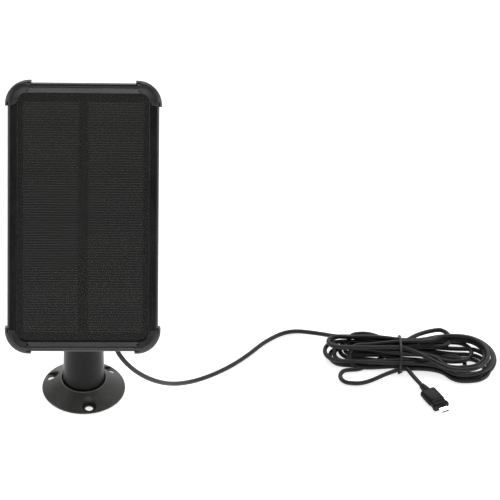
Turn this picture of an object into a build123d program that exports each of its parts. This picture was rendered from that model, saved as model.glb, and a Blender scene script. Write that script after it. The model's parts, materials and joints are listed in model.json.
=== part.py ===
from build123d import *
import os
from math import cos, pi, radians, sin, tan

# Small solar charging panel for an outdoor camera: a framed panel on a pan and tilt
# bracket, with its free cable wound into a tied hank that ends in a micro-USB plug.
# Millimetres, +Z up. The origin is under the middle of the bracket's flange. The panel
# faces -Y and leans back; its own frame has X across, Y up the panel and Z out of its face.

# ---------------------------------------------------------------- driving dimensions
# flange
FLANGE_R = 30.4
RIM_TOP = 0.9                # height of the rim's vertical edge
CONE_LOW = (29.9, 1.4)       # radius and height where the cone starts
CONE_HIGH = (17.0, 9.2)      # radius and height where it meets the collar
COLLAR_R = 16.9
COLLAR_TOP = 10.0
SOCKET_R = 16.05             # inside of the collar, around the post's foot
SOCKET_FLOOR = 5.0
BOLT_CIRCLE_R = 25.0
BOLT_HOLE_R = 3.0
POCKET_R = 5.2
POCKET_FLOOR = 1.3
BOLT_ANGLES = (-80.6, 39.4, 159.4)
PIVOT_HOLE_R = 2.6
HEAD_RECESS_R = 6.6
HEAD_RECESS = 3.4

# post and its fork
POST_FOOT_R = 15.3
POST_TOP_R = 12.9
POST_FOOT = 5.1
POST_TOP = 92.0
POST_WALL = 2.2
POST_FLOOR = 4.0             # thickness of the wall that the pivot screw is driven into
POST_ROOF = 7.0
TILT_Z = 103.2               # height of the tilt axis
EAR_IN = 6.1                 # inner and outer faces of the fork's ears, from the middle
EAR_OUT = 11.2
EAR_R = 9.0
BOLT_R = 2.5

# tilting arm
LUG_HALF = 5.35
LUG_R = 8.2
PAD_WIDTH = 42.0
PAD_HEIGHT = 28.0
PAD_BACK = 30.9
PAD_FRONT = 34.55

# panel, distances along its normal are measured from the tilt axis
LEAN = 31.5                  # degrees back from upright
RISE = 45.0                  # the panel's middle above the arm, along the panel
PANEL_W = 103.5
PANEL_H = 184.3
RAIL_FACE = 7.05             # width of the visible lip
RAIL_WALL = 1.6
RAIL_ROUND = 3.0
BACK = 36.0                  # back and front faces of the rails
FRONT = 54.0
LIP = 1.8
SLOPE_WIDE = 3.8             # the lip slopes down to the window over this width, by this much
SLOPE_DROP = 1.0
CAP_PROUD = 1.8
CAP_FACE_PROUD = 0.7
CAP_R = 16.5
CAP_ROUND = 4.6
CAP_COVERS = 13.0            # the rails start this far from the frame's corner
WINDOW_R = 5.5
SHEET_W = 95.0
SHEET_H = 175.0
SHEET_R = 6.0
SHEET_TOP = FRONT - LIP - 0.05
SHEET_THICK = 0.6
CELL_THICK = 0.3
BOARD_THICK = 1.1
CELL_ROWS = 10
CELL_FIELD_W = 83.4
CELL_FIELD_H = 158.5
CELL_BAND = 5.0              # plain band up the middle
CELL_GAP = 0.35
COVER_W = 100.4
COVER_H = 181.2
COVER_R = 13.0
COVER_THICK = 1.4

# cable
CABLE_D = 3.3
OUTLET_X = 22.0              # the cable leaves the back here, pointing down the panel
OUTLET_W = 30.6
OUTLET_END = -82.0
HOOD_LOW = -72.0              # the outlet hood's two ends, up the panel
HOOD_HIGH = -60.0
HOOD_WALL = 2.0
FLOOR_LINE = CABLE_D / 2 + 0.05
HANK_TIE_X = 239.0           # the tie, the waist that it draws the hank in to, and the hank's height
HANK_TIE_Y = 33.0
HANK_TOP = 13.4
WAIST_WIDE = 33.0
WAIST_TALL = 12.4
WAIST_Z = 8.0
TIE_WIDTH = 2.4
TIE_THICK = 1.6
PLUG_START = (250.1, -1.1, 3.05)
PLUG_HEADING = -63.8
BOOT_LONG = 7.0
PLUG_WIDE = 12.2
PLUG_TALL = 6.0
PLUG_LONG = 20.0


def panel_frame():
    lean = radians(LEAN)
    origin = (0, RISE * sin(lean), TILT_Z + RISE * cos(lean))
    return Plane(origin=origin, x_dir=(1, 0, 0), z_dir=(0, -cos(lean), sin(lean)))


def arm_frame():
    lean = radians(LEAN)
    return Plane(origin=(0, 0, TILT_Z), x_dir=(1, 0, 0), z_dir=(0, -cos(lean), sin(lean)))


PANEL = panel_frame()
ARM = arm_frame()
PIECES = {}
BASE_UP = (Align.CENTER, Align.CENTER, Align.MIN)


def keep(name, shape, frame=None):
    """Store one node: a solid, or a list of separate solids, placed in the world."""
    solids = shape if isinstance(shape, list) else [shape]
    placed = [frame.location * solid for solid in solids] if frame else solids
    PIECES[name] = Compound(placed) if len(placed) > 1 else placed[0]


def plate(width, height, radius, low, high, x=0.0, y=0.0):
    """A rounded slab between two heights of its frame."""
    outline = RectangleRounded(width, height, radius) if radius else Rectangle(width, height)
    return Pos(x, y, low) * extrude(outline, high - low)


def rod(radius, low, high, x=0.0, y=0.0):
    return Pos(x, y, low) * extrude(Circle(radius), high - low)


def cross_rod(radius, x_low, x_high):
    """A cylinder along X on the tilt axis."""
    return Plane(origin=(x_low, 0, TILT_Z), z_dir=(1, 0, 0)).location * extrude(Circle(radius), x_high - x_low)


def turned(outline):
    """A solid of revolution about Z from points (radius, height)."""
    return revolve(Plane.XZ * make_face(Polyline(outline, close=True)), Axis.Z)


def fasteners(places, shank_r, shank, head_r, head, seat):
    """Pan-head screws driven towards +Z, with their heads below the seat."""
    screws = []
    for x, y in places:
        body = rod(shank_r, seat, seat + shank, x, y) + rod(head_r, seat - head, seat, x, y)
        rim = body.edges().group_by(Axis.Z)[0]
        body = fillet(rim, head * 0.45)
        cross = Pos(x, y, seat - head) * Box(head_r, head_r * 0.25, head)
        screws.append(body - cross - Pos(x, y, seat - head) * Box(head_r * 0.25, head_r, head))
    return screws


# ---------------------------------------------------------------- bracket
def make_flange():
    body = turned([
        (PIVOT_HOLE_R, HEAD_RECESS), (HEAD_RECESS_R, HEAD_RECESS), (HEAD_RECESS_R, 0),
        (FLANGE_R - 0.4, 0), (FLANGE_R, 0.4), (FLANGE_R, RIM_TOP), CONE_LOW, CONE_HIGH,
        (COLLAR_R, COLLAR_TOP), (SOCKET_R, COLLAR_TOP), (SOCKET_R, SOCKET_FLOOR),
        (PIVOT_HOLE_R, SOCKET_FLOOR)])
    for angle in BOLT_ANGLES:
        x = BOLT_CIRCLE_R * cos(radians(angle))
        y = BOLT_CIRCLE_R * sin(radians(angle))
        body -= rod(POCKET_R, POCKET_FLOOR, COLLAR_TOP, x, y)
        body -= rod(BOLT_HOLE_R, -1, COLLAR_TOP, x, y)
    keep("base_flange", body)


def make_post():
    top_at = POST_TOP - 1.0
    shell = turned([
        (0, POST_FOOT), (POST_FOOT_R - 1.0, POST_FOOT), (POST_FOOT_R, POST_FOOT + 1.0),
        (POST_TOP_R, top_at), (POST_TOP_R - 1.0, POST_TOP), (0, POST_TOP)])
    cavity_low = POST_FOOT + POST_FLOOR
    cavity_high = POST_TOP - POST_ROOF
    shell -= turned([
        (0, cavity_low), (POST_FOOT_R - POST_WALL, cavity_low),
        (POST_TOP_R - POST_WALL, cavity_high), (0, cavity_high)])
    shell += rod(5.5, cavity_low - 0.5, cavity_low + 5.0)
    shell -= rod(BOLT_R + 0.02, POST_FOOT - 1, cavity_low + 4.0)
    for side in (-1, 1):
        middle = side * (EAR_IN + EAR_OUT) / 2
        thick = EAR_OUT - EAR_IN
        ear = Pos(middle, 0, (POST_TOP - 2 + TILT_Z) / 2) * Box(thick, 2 * EAR_R, TILT_Z - POST_TOP + 2)
        ear += cross_rod(EAR_R, min(side * EAR_IN, side * EAR_OUT), max(side * EAR_IN, side * EAR_OUT))
        shell += ear & rod(POST_TOP_R, POST_TOP - 2, TILT_Z + EAR_R + 1)
    shell -= cross_rod(BOLT_R + 0.1, -EAR_OUT - 1, EAR_OUT + 1)
    keep("post", shell)


def make_pivot():
    seat = HEAD_RECESS - 0.05
    wave = rod(5.6, seat - 0.8, seat) - rod(BOLT_R + 0.1, seat - 2, seat + 1)
    keep("pivot_spring_washer", wave)
    head_top = seat - 0.8
    screw = rod(BOLT_R, head_top - 0.5, POST_FOOT + POST_FLOOR + 3.0) + rod(4.6, head_top - 2.2, head_top)
    screw -= Pos(0, 0, head_top - 2.2) * extrude(RegularPolygon(2.3, 6), 1.4)
    keep("pivot_screw", screw)


def make_tilt_parts():
    washers = []
    for low in (-6.05, 5.45):
        washers.append(cross_rod(7.4, low, low + 0.6) - cross_rod(BOLT_R + 0.1, low - 1, low + 2))
    keep("friction_washers", washers)
    bolt = cross_rod(BOLT_R, -20.6, EAR_OUT + 0.5)
    head = Plane(origin=(EAR_OUT, 0, TILT_Z), z_dir=(1, 0, 0)).location * extrude(RegularPolygon(4.6, 6), 3.4)
    keep("tilt_bolt", bolt + fillet(head.edges().group_by(Axis.X)[-1], 0.4))
    seat = -EAR_OUT - 0.9
    keep("knob_washer", cross_rod(5.9, seat, -EAR_OUT) - cross_rod(BOLT_R + 0.1, seat - 1, 0))
    insert = cross_rod(4.6, -21.0, seat - 0.1) - cross_rod(BOLT_R + 0.06, -30, 0)
    keep("knob_insert", insert)
    hub = cross_rod(7.0, -14.0, seat - 0.1) + cross_rod(11.6, -23.2, -13.6)
    frame = Plane(origin=(-23.2, 0, TILT_Z), z_dir=(1, 0, 0)).location
    lobes = 6
    for index in range(lobes):
        turn = index * 2 * pi / lobes
        hub -= frame * (Pos(13.4 * cos(turn), 13.4 * sin(turn), -1) * extrude(Circle(4.2), 9.4))
    hub = fillet(hub.edges().group_by(Axis.X)[0], 0.8)
    hub -= cross_rod(4.6, -21.0, 0)
    keep("tilt_knob", hub)


def make_arm():
    lug = Plane(origin=(-LUG_HALF, 0, 0), z_dir=(1, 0, 0)).location * extrude(Circle(LUG_R), 2 * LUG_HALF)
    neck = plate(2 * LUG_HALF, 12.0, 0, 0, PAD_BACK + 1)
    flare = loft([Pos(0, 0, 14) * Rectangle(2 * LUG_HALF, 12.0), Pos(0, 0, PAD_BACK + 0.5) * Rectangle(19.0, 20.0)])
    pad = plate(PAD_WIDTH, PAD_HEIGHT, 5.0, PAD_BACK, PAD_FRONT)
    pad = chamfer(pad.edges().group_by(Axis.Z)[0], 0.8)
    arm = lug + neck + flare + pad
    arm -= Plane(origin=(-LUG_HALF - 1, 0, 0), z_dir=(1, 0, 0)).location * extrude(Circle(BOLT_R + 0.1), 20)
    for x, y in PAD_SCREWS:
        arm -= rod(1.7, PAD_BACK - 1, PAD_FRONT + 1, x, y)
    keep("tilt_arm", arm, ARM)
    keep("pad_screws", fasteners(PAD_SCREWS, 1.5, 7.4, 2.8, 1.7, PAD_BACK), ARM)
    reach = BACK + 1.6
    backing = plate(40.0, 26.0, 3.0, BACK + 0.02, reach)
    for x, y in PAD_SCREWS:
        backing -= rod(1.52, BACK - 1, reach + 1, x, y)
    keep("mount_plate", backing, ARM)


PAD_SCREWS = [(x, y) for x in (-15.5, 15.5) for y in (-9.5, 9.5)]


# ---------------------------------------------------------------- panel
def sloped_window(face):
    """The cutter for the slope round the window, for a lip whose face is at that height."""
    rings = []
    for rise in (-SLOPE_DROP, 0.6):
        grow = 2 * SLOPE_WIDE * (1 + rise / SLOPE_DROP)
        ring = RectangleRounded(PANEL_W - 2 * RAIL_FACE + grow, PANEL_H - 2 * RAIL_FACE + grow, WINDOW_R + grow / 2)
        rings.append(Pos(0, 0, face + rise) * ring)
    return loft(rings)


def rail(length, face):
    """One extruded rail along X, its outer wall at +Y."""
    half = face / 2
    body = Pos(0, half - RAIL_FACE / 2, (BACK + FRONT) / 2) * Box(length, RAIL_FACE, FRONT - BACK)
    outer = body.edges().filter_by(Axis.X).group_by(Axis.Y)[-1]
    body = fillet(outer.group_by(Axis.Z)[-1], RAIL_ROUND)
    body = fillet(body.edges().filter_by(Axis.X).group_by(Axis.Z)[0].group_by(Axis.Y)[-1], 1.2)
    low = BACK + RAIL_WALL
    high = FRONT - LIP
    hollow = Pos(0, half - RAIL_WALL - 10, (low + high) / 2) * Box(length + 2, 20, high - low)
    return body - hollow


def make_rails():
    slope = sloped_window(FRONT)
    long_rail = rail(PANEL_H - 2 * CAP_COVERS, PANEL_W)
    short_rail = rail(PANEL_W - 2 * CAP_COVERS, PANEL_H)
    turned_rails = {
        "rail_top": short_rail,
        "rail_bottom": Rot(0, 0, 180) * short_rail,
        "rail_left": Rot(0, 0, 90) * long_rail,
        "rail_right": Rot(0, 0, -90) * long_rail}
    for name, shape in turned_rails.items():
        for x, y in COVER_SCREWS:
            shape -= rod(1.02, BACK - 2, BACK + 8, x, y)
        keep(name, shape - slope, PANEL)


COVER_SCREWS = [(x, y) for x in (-46.2, 46.2) for y in (-86.2, 86.2)]
COVER_SCREWS += [(x, y) for x in (-47.4, 47.4) for y in (-38.0, 38.0)]


def cap_region(side_x, side_y):
    """The corner that one cap covers, its ends cut on the slant."""
    outer_x = PANEL_W / 2 + CAP_PROUD
    outer_y = PANEL_H / 2 + CAP_PROUD
    corner = [
        (outer_x - 18.4, outer_y + 2), (outer_x - 15.6, outer_y - 11.5),
        (outer_x - 11.5, outer_y - 15.6), (outer_x + 2, outer_y - 18.4), (outer_x + 2, outer_y + 2)]
    points = [(side_x * x, side_y * y) for x, y in corner]
    return extrude(make_face(Polyline(points, close=True)), FRONT + 5)


def make_caps():
    block = plate(PANEL_W + 2 * CAP_PROUD, PANEL_H + 2 * CAP_PROUD, CAP_R, BACK - 0.7, FRONT + CAP_FACE_PROUD)
    block = fillet(block.edges().group_by(Axis.Z)[-1], CAP_ROUND)
    block = fillet(block.edges().group_by(Axis.Z)[0], 1.4)
    window = plate(PANEL_W - 2 * RAIL_FACE, PANEL_H - 2 * RAIL_FACE, WINDOW_R, FRONT - LIP, FRONT + 3)
    block = block - window - sloped_window(FRONT + CAP_FACE_PROUD)
    block -= plate(SHEET_W + 1, SHEET_H + 1, SHEET_R + 1, FRONT - LIP - 2.9, FRONT - LIP + 0.01)
    block -= plate(SHEET_W + 1, SHEET_H + 1, 12.0, BACK - 2, FRONT - LIP - 2.5)
    block -= plate(COVER_W + 0.4, COVER_H + 0.4, COVER_R, BACK - 2, BACK + 0.02)
    free = 0.05
    for length, width in ((PANEL_W - 2 * CAP_COVERS, PANEL_H), (PANEL_W, PANEL_H - 2 * CAP_COVERS)):
        middle = (BACK + FRONT) / 2
        block -= Pos(0, 0, middle) * Box(length + free, width + 2 * free, FRONT - BACK + 2 * free)
    for x, y in COVER_SCREWS:
        block -= rod(1.02, BACK - 2, BACK + 8, x, y)
    for name, side_x, side_y in (
            ("cap_top_left", -1, 1), ("cap_top_right", 1, 1),
            ("cap_bottom_left", -1, -1), ("cap_bottom_right", 1, -1)):
        keep(name, block & cap_region(side_x, side_y), PANEL)


def make_laminate():
    sheet_low = SHEET_TOP - SHEET_THICK
    keep("front_sheet", plate(SHEET_W, SHEET_H, SHEET_R, sheet_low, SHEET_TOP), PANEL)
    pitch = CELL_FIELD_H / CELL_ROWS
    width = (CELL_FIELD_W - CELL_BAND) / 2
    cells = []
    for row in range(CELL_ROWS):
        y = (row - (CELL_ROWS - 1) / 2) * pitch
        for side in (-1, 1):
            x = side * (CELL_BAND + width) / 2
            cells.append(plate(width, pitch - CELL_GAP, 0, sheet_low - CELL_THICK, sheet_low, x, y))
    keep("solar_cells", cells, PANEL)
    board_high = sheet_low - CELL_THICK
    board_low = board_high - BOARD_THICK
    keep("cell_board", plate(SHEET_W, SHEET_H, SHEET_R, board_low, board_high), PANEL)
    ribbons = []
    for x in (-22.0, 22.0):
        ribbons.append(plate(1.6, CELL_FIELD_H - 6, 0, board_low - 0.2, board_low, x))
    ribbons.append(plate(42.0, 1.6, 0, board_low - 0.2, board_low, 0, CELL_FIELD_H / 2 - 8))
    keep("bus_ribbons", ribbons[0] + ribbons[1] + ribbons[2], PANEL)
    seal = plate(PANEL_W - 2 * RAIL_WALL - 0.1, PANEL_H - 2 * RAIL_WALL - 0.1, 0, board_low, SHEET_TOP)
    seal -= plate(SHEET_W + 0.1, SHEET_H + 0.1, SHEET_R, board_low - 1, SHEET_TOP + 1)
    for side_x in (-1, 1):
        for side_y in (-1, 1):
            seal -= Pos(side_x * PANEL_W / 2, side_y * PANEL_H / 2, 50) * Box(2 * CAP_COVERS + 1, 2 * CAP_COVERS + 1, 30)
    keep("edge_seal", seal, PANEL)
    return board_low


BOARD_AT = (4.0, -30.0)
BOARD_SIZE = (50.0, 30.0)
STANDOFFS = [(BOARD_AT[0] + x, BOARD_AT[1] + y) for x in (-21.5, 21.5) for y in (-11.5, 11.5)]
BOARD_LOW = BACK + 4.2
BOARD_HIGH = BOARD_LOW + 1.6


def make_cover():
    low = BACK - COVER_THICK
    cover = plate(COVER_W, COVER_H, COVER_R, low, BACK)
    cover = fillet(cover.edges().group_by(Axis.Z)[0], 0.7)
    hood_y = (HOOD_LOW + HOOD_HIGH) / 2
    hood_long = HOOD_HIGH - HOOD_LOW
    hood = plate(15.0, hood_long, 3.0, 25.6, BACK - 0.5, OUTLET_X, hood_y)
    hood = fillet(hood.edges().group_by(Axis.Z)[0], 2.0)
    cover += hood
    cover -= plate(10.0, hood_long - 2 * HOOD_WALL, 1.5, 27.2, BACK + 1, OUTLET_X, hood_y)
    lower_wall = Plane(origin=(OUTLET_X, HOOD_LOW - 1, OUTLET_W), z_dir=(0, 1, 0)).location
    cover -= lower_wall * extrude(Circle(3.02), HOOD_WALL + 2)
    arm_y = -RISE
    for x, y in PAD_SCREWS:
        cover -= rod(1.7, low - 1, BACK + 1, x, y + arm_y)
    for x, y in COVER_SCREWS:
        cover -= rod(1.15, low - 1, BACK + 1, x, y)
    for y in (20.0, 34.0, 48.0, 62.0):
        cover += plate(70.0, 1.6, 0, low - 0.6, low + 0.1, 0, y)
    for x, y in STANDOFFS:
        if abs(y + RISE) < 17 and abs(x) < 21:
            continue
        cover += rod(2.4, BACK - 0.2, BOARD_LOW, x, y) - rod(0.98, BACK + 1, BOARD_LOW + 1, x, y)
    keep("back_cover", cover, PANEL)
    keep("cover_screws", fasteners(COVER_SCREWS, 1.0, 5.0, 1.9, 1.1, low), PANEL)
    ring = plate(COVER_W - 13.6, COVER_H - 13.6, 8.0, BACK + 0.02, BACK + 1.0)
    ring -= plate(COVER_W - 16.0, COVER_H - 16.0, 6.8, BACK - 1, BACK + 2)
    keep("cover_gasket", ring, PANEL)


def make_electronics(board_low):
    x0, y0 = BOARD_AT
    board = plate(BOARD_SIZE[0], BOARD_SIZE[1], 1.5, BOARD_LOW, BOARD_HIGH, x0, y0)
    for x, y in STANDOFFS:
        board -= rod(1.1, BOARD_LOW - 1, BOARD_HIGH + 1, x, y)
    keep("regulator_board", board, PANEL)
    used = [(x, y) for x, y in STANDOFFS if not (abs(y + RISE) < 17 and abs(x) < 21)]
    screws = []
    for x, y in used:
        screws.append(rod(0.97, BOARD_HIGH - 4.4, BOARD_HIGH, x, y) + rod(1.9, BOARD_HIGH, BOARD_HIGH + 1.0, x, y))
    keep("board_screws", screws, PANEL)
    coil = plate(7.0, 7.0, 1.6, BOARD_HIGH, BOARD_HIGH + 3.6, x0 - 8, y0 + 2)
    keep("inductor", chamfer(coil.edges().group_by(Axis.Z)[-1], 0.6), PANEL)
    keep("regulator_chip", plate(5.0, 4.0, 0.2, BOARD_HIGH, BOARD_HIGH + 1.3, x0 + 1, y0 + 3), PANEL)
    keep("diode", plate(4.6, 2.8, 0.2, BOARD_HIGH, BOARD_HIGH + 2.1, x0 + 1, y0 - 5), PANEL)
    can = rod(2.6, BOARD_HIGH, BOARD_HIGH + 5.2, x0 + 10, y0 + 4)
    keep("capacitor", fillet(can.edges().group_by(Axis.Z)[-1], 0.4), PANEL)
    for name, x, y in (("cell_connector", x0 - 17, y0 + 1), ("output_connector", x0 + 17, y0 - 3)):
        keep(name, plate(4.6, 7.6, 0.3, BOARD_HIGH, BOARD_HIGH + 3.4, x, y), PANEL)
    wires = []
    for step in (-1.5, 1.5):
        low = (x0 - 17, y0 + 1 + step, BOARD_HIGH + 3.4)
        route = FilletPolyline(
            low, (low[0], low[1], board_low - 1.6), (low[0] - 6, low[1], board_low - 0.9), radius=0.9)
        wires.append(sweep(Plane(origin=low, z_dir=(0, 0, 1)) * Circle(0.5), route))
    keep("cell_wires", wires, PANEL)


# ---------------------------------------------------------------- cable
def to_world(x, y, w):
    spot = PANEL.from_local_coords(Vector(x, y, w))
    return (spot.X, spot.Y, spot.Z)


def make_outlet():
    flange_thick = 1.4
    start = HOOD_LOW + HOOD_WALL + flange_thick + 0.02
    frame = Plane(origin=(OUTLET_X, start, OUTLET_W), z_dir=(0, -1, 0))
    boot_from = start - HOOD_LOW + 0.02
    boot_long = start - OUTLET_END
    relief = extrude(Circle(3.3), flange_thick) + extrude(Circle(3.0), boot_from + 0.5)
    relief += Pos(0, 0, boot_from) * Cone(4.2, 2.6, boot_long - boot_from, align=BASE_UP)
    for groove in (5.4, 7.4, 9.4):
        ring = Pos(0, 0, groove) * (extrude(Circle(6), 0.8) - extrude(Circle(3.0), 0.8))
        relief -= ring
    relief -= extrude(Circle(CABLE_D / 2 + 0.05), boot_long + 1)
    keep("strain_relief", frame.location * relief, PANEL)
    route = FilletPolyline(
        (OUTLET_X, OUTLET_END, OUTLET_W), (OUTLET_X, -65.6, OUTLET_W), (OUTLET_X, -64.2, 39.4), radius=3.4)
    inner = sweep(Plane(origin=(OUTLET_X, OUTLET_END, OUTLET_W), z_dir=(0, 1, 0)) * Circle(CABLE_D / 2), route)
    keep("inner_cable", inner, PANEL)


def cable_tube(name, points):
    """A tube on straight runs joined by arcs as large as the runs allow."""
    radii = []
    for before, here, after in zip(points, points[1:], points[2:]):
        run_in = Vector(*here) - Vector(*before)
        run_out = Vector(*after) - Vector(*here)
        turn = run_in.get_angle(run_out)
        radii.append(0.45 * min(run_in.length, run_out.length) / tan(radians(turn) / 2))
    route = FilletPolyline(*points, radius=radii)
    heading = Vector(*points[1]) - Vector(*points[0])
    tube = sweep(Plane(origin=points[0], z_dir=heading) * Circle(CABLE_D / 2), route)
    section = pi * CABLE_D ** 2 / 4
    print(name, "length", round(route.length, 1), "volume ratio", round(tube.volume / (section * route.length), 4))
    print(name, "radii", [round(radius, 1) for radius in radii])
    keep(name, tube)
    return route.length


# from the outlet down to the floor, across it and into the hank
LEAD_POINTS = [
    to_world(OUTLET_X, OUTLET_END, OUTLET_W),
    to_world(OUTLET_X, OUTLET_END - 10.0, OUTLET_W),
    (28.6, -54.3, 69.5),
    (37.5, -51.0, 57.0),
    (48.5, -41.5, 41.8),
    (62.0, -25.5, 24.5),
    (77.0, -6.5, 10.2),
    (92.5, 8.5, 3.6),
    (108.5, 22.0, FLOOR_LINE),
    (122.5, 35.5, FLOOR_LINE),
    (137.0, 53.0, FLOOR_LINE),
    (155.5, 66.0, FLOOR_LINE),
    (176.0, 61.0, FLOOR_LINE + 1.3),
    (194.0, 48.7, FLOOR_LINE + 6.9)]

# from the tie to the plug's boot
TAIL_POINTS = [
    (242.3, 17.2, 4.2),
    (244.2, 10.6, 3.6),
    (PLUG_START[0] - 6.0 * cos(radians(PLUG_HEADING)), PLUG_START[1] - 6.0 * sin(radians(PLUG_HEADING)), PLUG_START[2]),
    PLUG_START]


def make_hank():
    """The outer shape of the loose hank, drawn in at the tie."""
    outline = [
        (178.5, 35.0), (179.5, 51.0), (187.0, 59.0), (205.0, 62.5), (HANK_TIE_X, 53.0), (263.0, 60.5),
        (287.0, 63.0), (306.0, 57.0), (314.0, 42.0), (314.0, 23.0), (305.0, 8.5), (287.0, 2.0),
        (266.0, 5.0), (248.0, 13.0), (228.0, 13.0), (213.0, 1.5), (197.0, -2.5), (188.0, 2.5), (186.0, 14.0),
        (181.0, 23.0)]
    body = extrude(make_face(Polyline(outline, close=True)), HANK_TOP)
    body = fillet(body.edges().filter_by(Axis.Z), 4.0)
    body = chamfer(body.edges().group_by(Axis.Z)[-1], 2.6)
    body = chamfer(body.edges().group_by(Axis.Z)[0], 1.0)
    waist = Plane(origin=(HANK_TIE_X, HANK_TIE_Y, WAIST_Z), x_dir=(0, 1, 0), z_dir=(1, 0, 0))
    slot = Pos(HANK_TIE_X, HANK_TIE_Y, HANK_TOP / 2) * Box(TIE_WIDTH + 1.0, 90, 30)
    core = RectangleRounded(WAIST_WIDE, WAIST_TALL, 5.0)
    half = TIE_WIDTH / 2 + 1.0
    body -= slot - waist.location * (Pos(0, 0, -half) * extrude(core, 2 * half))
    keep("cable_hank", body)
    outside = RectangleRounded(WAIST_WIDE + 2 * TIE_THICK, WAIST_TALL + 2 * TIE_THICK, 6.5)
    hoop = outside - RectangleRounded(WAIST_WIDE + 0.1, WAIST_TALL + 0.1, 5.05)
    keep("cable_tie", waist.location * (Pos(0, 0, -TIE_WIDTH / 2) * extrude(hoop, TIE_WIDTH)))


def make_plug():
    turn = radians(PLUG_HEADING)
    nose = BOOT_LONG + PLUG_LONG
    frame = Plane(origin=PLUG_START, x_dir=(-sin(turn), cos(turn), 0), z_dir=(cos(turn), sin(turn), 0))
    boot = Cone(2.2, 3.0, BOOT_LONG, align=BASE_UP)
    keep("plug_boot", frame.location * boot)
    body = Pos(0, 0, BOOT_LONG) * extrude(RectangleRounded(PLUG_WIDE, PLUG_TALL, 2.2), PLUG_LONG)
    body = fillet(body.edges().group_by(Axis.Z)[0], 1.6)
    body = fillet(body.edges().group_by(Axis.Z)[-1], 0.5)
    keep("plug_body", frame.location * body)
    outline = make_face(Polyline([(-3.4, 0.9), (3.4, 0.9), (3.4, -0.1), (2.6, -0.9), (-2.6, -0.9), (-3.4, -0.1)], close=True))
    shell = Pos(0, 0, nose) * (extrude(outline, 5.4) - Pos(0, 0, 0.6) * extrude(offset(outline, -0.28), 5.4))
    keep("plug_shell", frame.location * shell)
    tongue = Pos(0, 0.05, nose + 0.6) * extrude(Rectangle(4.6, 0.6), 4.2)
    keep("plug_tongue", frame.location * tongue)


def main():
    make_flange()
    make_post()
    make_pivot()
    make_tilt_parts()
    make_arm()
    make_rails()
    make_caps()
    board_low = make_laminate()
    make_cover()
    make_electronics(board_low)
    make_outlet()
    cable_tube("cable_lead", LEAD_POINTS)
    cable_tube("cable_tail", TAIL_POINTS)
    make_hank()
    make_plug()
    os.makedirs("parts", exist_ok=True)
    for name, shape in PIECES.items():
        shape.label = name
        export_step(shape, f"parts/{name}.step")
    print(len(PIECES), "pieces")


main()
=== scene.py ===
# %% [markdown]
# # A solar charging panel on its bracket
# The real object is a small framed solar panel that keeps an outdoor camera charged.
# It leans on a cast bracket, and a long thin cable runs from its back to a small plug.
# Its shapes come from a CAD model that stays where it is. This lesson gives every piece
# its finish, lays the cable as a smooth curve, and adds the small things that were
# modelled loosely before: the tie, the plug's grip and its boot.

# %% Load the model
import json
from math import cos, pi, radians, sin

import bmesh
import bpy
from mathutils import Matrix, Vector


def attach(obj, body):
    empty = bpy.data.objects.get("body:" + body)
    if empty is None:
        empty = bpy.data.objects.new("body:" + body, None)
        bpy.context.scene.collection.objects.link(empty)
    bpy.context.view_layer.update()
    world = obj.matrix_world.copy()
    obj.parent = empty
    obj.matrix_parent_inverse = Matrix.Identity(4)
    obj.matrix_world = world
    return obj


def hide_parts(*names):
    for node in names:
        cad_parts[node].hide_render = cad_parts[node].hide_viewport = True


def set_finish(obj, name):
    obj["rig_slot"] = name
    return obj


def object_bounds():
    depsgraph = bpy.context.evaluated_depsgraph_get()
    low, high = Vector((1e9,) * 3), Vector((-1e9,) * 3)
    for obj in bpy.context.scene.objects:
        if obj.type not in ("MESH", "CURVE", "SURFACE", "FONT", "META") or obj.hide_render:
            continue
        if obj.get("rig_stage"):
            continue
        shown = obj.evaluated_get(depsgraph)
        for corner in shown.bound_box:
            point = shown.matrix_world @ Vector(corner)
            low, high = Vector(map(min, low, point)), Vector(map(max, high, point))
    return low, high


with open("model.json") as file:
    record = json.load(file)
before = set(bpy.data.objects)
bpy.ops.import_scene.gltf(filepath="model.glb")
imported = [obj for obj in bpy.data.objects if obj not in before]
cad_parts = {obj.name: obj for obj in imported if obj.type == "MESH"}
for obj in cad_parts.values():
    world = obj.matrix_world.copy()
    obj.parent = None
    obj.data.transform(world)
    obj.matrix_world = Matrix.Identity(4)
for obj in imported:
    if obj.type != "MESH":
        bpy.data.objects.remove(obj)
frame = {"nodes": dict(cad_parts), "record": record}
cad_low, cad_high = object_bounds()
MM = 0.001
print("nodes", len(frame["nodes"]), "size in mm", [round(side / MM, 1) for side in cad_high - cad_low])

# %% [markdown]
# ## The camera
# A catalogue picture of an object this small is taken from a good way off with a long
# lens, so its sides stay nearly parallel. The camera looks down on it, a little from the
# left, because the panel stands at the left of the picture and the cable fills the right.
# A lens of about 165 mm on a 36 mm sensor does this from 1.7 m. No lens shift is used,
# so the same camera can be carried round the object.

# %% Camera
camera_data = bpy.data.cameras.new("view")
camera_data.sensor_width = 36.0
camera_data.lens = 164.0
camera = bpy.data.objects.new("view", camera_data)
bpy.context.scene.collection.objects.link(camera)
camera_turn = Matrix.Rotation(radians(-4.592), 4, "Z") @ Matrix.Rotation(radians(53.53), 4, "X")
camera_turn = camera_turn @ Matrix.Rotation(radians(3.005), 4, "Z")
camera.matrix_world = Matrix.Translation((0.01367, -1.28898, 1.08246)) @ camera_turn
bpy.context.scene.camera = camera
print("camera", round(camera.location.length, 2), "m from the flange")

# %% [markdown]
# ## The cable
# The cable is one length of a soft round cord, 3.3 mm thick. It leaves a hood behind the
# panel, drops to the floor, wanders across it and ends up folded to and fro in a loose
# hank, with a twist tie round its middle. A cable under its own weight has no corners, so
# it is one NURBS curve of order 3 whose control points are listed. The curve
# passes inside each corner, as a real cable does.

# %% The run from the outlet to the hank
CABLE_THICK = 3.3
LEAN = radians(31.5)
TILT_HEIGHT = 103.2
FLOOR_LINE = CABLE_THICK / 2 + 0.05


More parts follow.
